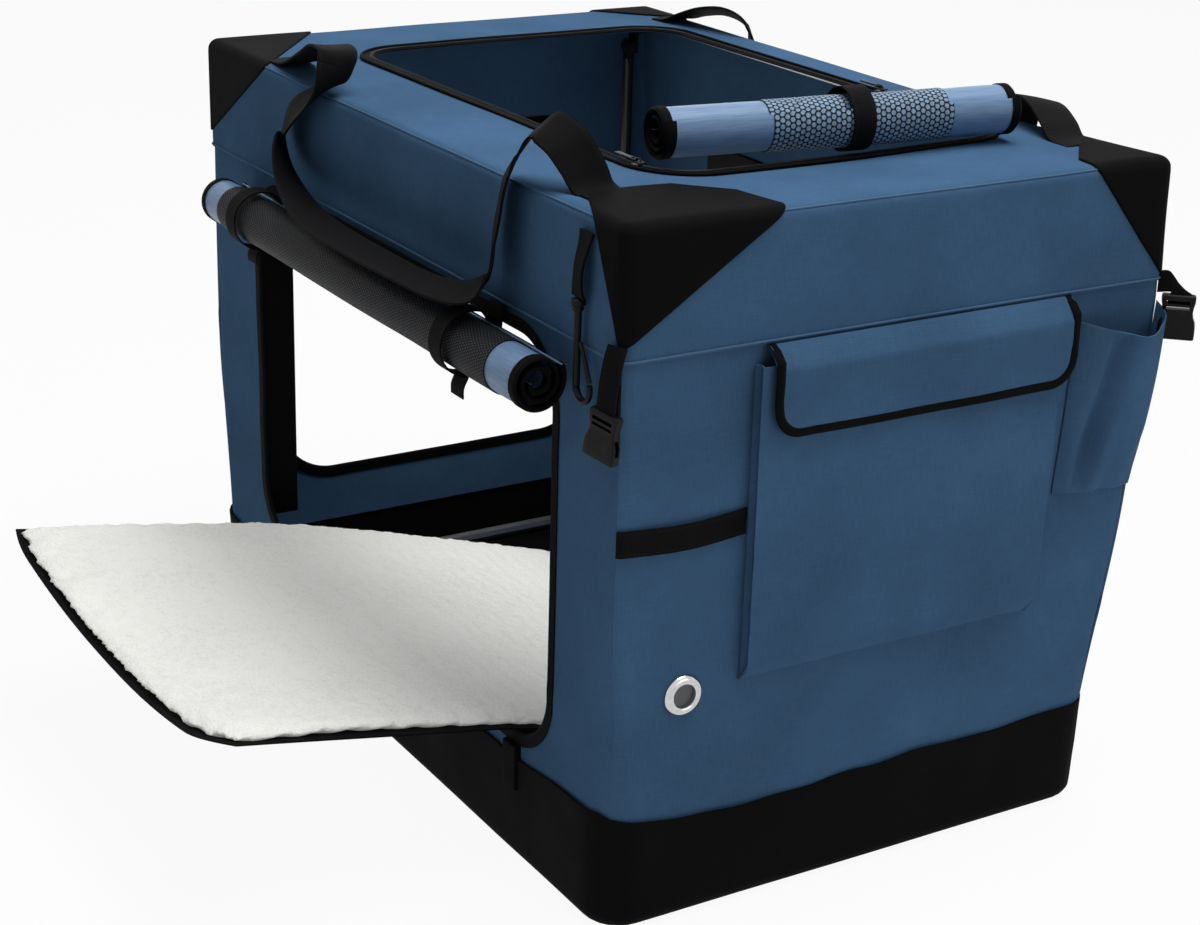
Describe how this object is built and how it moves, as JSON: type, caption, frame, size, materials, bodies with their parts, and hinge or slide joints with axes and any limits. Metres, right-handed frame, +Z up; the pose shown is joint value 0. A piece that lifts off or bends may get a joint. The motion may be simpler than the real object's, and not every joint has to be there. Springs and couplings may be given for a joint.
{
  "type": "soft folding dog crate",
  "caption": "Rectangular soft-sided pet carrier on a folding tube frame, with rolled-up doors, net window, pockets, carry handles and a slide-out fleece pad.",
  "frame": {"origin": "centre of the base's flat underside", "axes": "+Z up, +Y along the length away from the pocket wall, +X away from the long doorway that the pad lies through"},
  "size_m": [0.8348, 0.8926, 0.6562],
  "materials": {
    "blue_cloth": "matte woven polyester with a padded backing",
    "blue_lining": "satin coated back of the cloth",
    "black_cloth": "matte woven polyester",
    "black_tape": "matte woven tape",
    "black_webbing": "ribbed webbing",
    "black_net": "fine net",
    "black_plastic": "satin moulded",
    "white_fleece": "short fleece",
    "steel": "silver grey coat",
    "black_steel": "black coat",
    "chrome": "polished"
  },
  "bodies": {
    "crate_base": {"base_cover": "black_cloth", "base_ring": "steel", "base_bracket_front_left": "black_steel", "base_bracket_front_right": "black_steel", "base_bracket_rear_left": "black_steel", "base_bracket_rear_right": "black_steel", "front_wall": "blue_cloth", "right_wall": "blue_cloth", "rear_wall": "blue_cloth", "left_wall": "blue_cloth", "left_door_binding": "black_tape", "rear_door_binding": "black_tape", "window_binding": "black_tape", "window_mesh": "black_net", "left_door_roll": "blue_lining", "rear_door_roll": "blue_lining", "left_roll_strap_a": "black_tape", "left_roll_strap_b": "black_tape", "rear_roll_strap": "black_tape", "front_pocket": "blue_cloth", "bottle_pocket": "blue_cloth", "elastic_band": "black_tape", "eyelet": "chrome"},
    "front_lower_posts": {"lower_post_front_left": "black_steel", "lower_post_front_right": "black_steel"},
    "front_upper_posts": {"upper_post_front_left": "black_steel", "upper_post_front_right": "black_steel"},
    "rear_lower_posts": {"lower_post_rear_left": "black_steel", "lower_post_rear_right": "black_steel"},
    "rear_upper_posts": {"upper_post_rear_left": "black_steel", "upper_post_rear_right": "black_steel"},
    "top_frame": {"top_ring": "steel", "top_bracket_front_left": "black_steel", "top_bracket_front_right": "black_steel", "top_bracket_rear_left": "black_steel", "top_bracket_rear_right": "black_steel", "top_cover": "blue_cloth", "top_binding": "black_tape", "top_roll": "blue_lining", "top_roll_strap": "black_tape", "corner_patch_front_left": "black_cloth", "corner_patch_front_right": "black_cloth", "corner_patch_rear_left": "black_cloth", "corner_patch_rear_right": "black_cloth", "near_handle_stub_front": "black_webbing", "near_handle_stub_rear": "black_webbing", "far_handle_stub_front": "black_webbing", "far_handle_stub_rear": "black_webbing"},
    "near_handle": {"near_handle": "black_webbing"},
    "far_handle": {"far_handle": "black_webbing"},
    "pocket_flap": {"pocket_flap": "blue_cloth"},
    "left_zip_slider": {"left_zip_slider": "black_plastic"},
    "right_zip_slider": {"right_zip_slider": "black_plastic"},
    "hook_strap": {"hook_strap": "black_webbing"},
    "snap_hook": {"snap_hook": "black_plastic"},
    "hook_gate": {"hook_gate": "black_plastic"},
    "near_buckle": {"near_buckle": "black_plastic"},
    "right_buckle": {"right_buckle": "black_plastic"},
    "fleece_pad": {"fleece_pad": "white_fleece"}
  },
  "joints": [
    {"name": "frame_fold", "type": "hinge", "parent": "crate_base", "child": "front_lower_posts", "pos_m": [0, -0.365, 0.04], "axis": [1, 0, 0], "range_deg": [-85, 0], "deforming": ["base_cover", "front_wall", "right_wall", "rear_wall", "left_wall", "left_door_binding", "rear_door_binding", "window_binding", "window_mesh", "left_door_roll", "rear_door_roll", "left_roll_strap_a", "left_roll_strap_b", "rear_roll_strap", "front_pocket", "bottle_pocket", "elastic_band", "eyelet", "pocket_flap", "fleece_pad", "near_handle", "far_handle", "hook_strap", "snap_hook", "hook_gate", "near_buckle", "right_buckle"]},
    {"name": "front_knee", "type": "hinge", "parent": "front_lower_posts", "child": "front_upper_posts", "pos_m": [0, -0.365, 0.303], "axis": [1, 0, 0], "range_deg": [0, 170]},
    {"name": "front_top_pivot", "type": "hinge", "parent": "front_upper_posts", "child": "top_frame", "pos_m": [0, -0.365, 0.566], "axis": [1, 0, 0], "range_deg": [-85, 0]},
    {"name": "rear_fold", "type": "hinge", "parent": "crate_base", "child": "rear_lower_posts", "pos_m": [0, 0.365, 0.04], "axis": [1, 0, 0], "range_deg": [0, 85]},
    {"name": "rear_knee", "type": "hinge", "parent": "rear_lower_posts", "child": "rear_upper_posts", "pos_m": [0, 0.365, 0.303], "axis": [1, 0, 0], "range_deg": [-170, 0]},
    {"name": "near_handle_swing", "type": "hinge", "parent": "top_frame", "child": "near_handle", "pos_m": [-0.26, 0, 0.628], "axis": [0, 1, 0], "range_deg": [0, 180]},
    {"name": "far_handle_swing", "type": "hinge", "parent": "top_frame", "child": "far_handle", "pos_m": [0.264, 0, 0.606], "axis": [0, -1, 0], "range_deg": [0, 180]},
    {"name": "pocket_flap_lift", "type": "hinge", "parent": "crate_base", "child": "pocket_flap", "pos_m": [0, -0.40155, 0.49345], "axis": [-1, 0, 0], "range_deg": [0, 150]},
    {"name": "left_zip_slide", "type": "slide", "parent": "top_frame", "child": "left_zip_slider", "axis": [0, 1, 0], "range_m": [0, 0.45]},
    {"name": "right_zip_slide", "type": "slide", "parent": "top_frame", "child": "right_zip_slider", "axis": [0, 1, 0], "range_m": [-0.1, 0.29]},
    {"name": "hook_strap_swing", "type": "hinge", "parent": "top_frame", "child": "hook_strap", "pos_m": [-0.263, -0.35, 0.575], "axis": [0, 1, 0], "range_deg": [0, 60]},
    {"name": "hook_swivel", "type": "hinge", "parent": "hook_strap", "child": "snap_hook", "pos_m": [-0.268, -0.35, 0.5], "axis": [0, 0, -1], "range_deg": [0, 90]},
    {"name": "hook_gate_open", "type": "hinge", "parent": "snap_hook", "child": "hook_gate", "pos_m": [-0.268, -0.3547, 0.5017], "axis": [1, 0, 0], "range_deg": [0, 20], "stiffness_Nm_per_rad": 0.002},
    {"name": "near_buckle_swing", "type": "hinge", "parent": "top_frame", "child": "near_buckle", "pos_m": [-0.25335, -0.39335, 0.4947], "axis": [-0.7071, 0.7071, 0], "range_deg": [0, 60]},
    {"name": "right_buckle_swing", "type": "hinge", "parent": "top_frame", "child": "right_buckle", "pos_m": [0.25017, -0.39017, 0.4947], "axis": [0.7071, -0.7071, 0], "range_deg": [0, 60]},
    {"name": "pad_slide", "type": "slide", "parent": "crate_base", "child": "fleece_pad", "axis": [-0.9586, 0, 0.2847], "range_m": [0, 0.75]}
  ],
  "couplings": [
    {"joint": "front_knee", "follows": "frame_fold", "ratio": -2},
    {"joint": "front_top_pivot", "follows": "frame_fold", "ratio": 1},
    {"joint": "rear_fold", "follows": "frame_fold", "ratio": -1},
    {"joint": "rear_knee", "follows": "frame_fold", "ratio": 2}
  ]
}
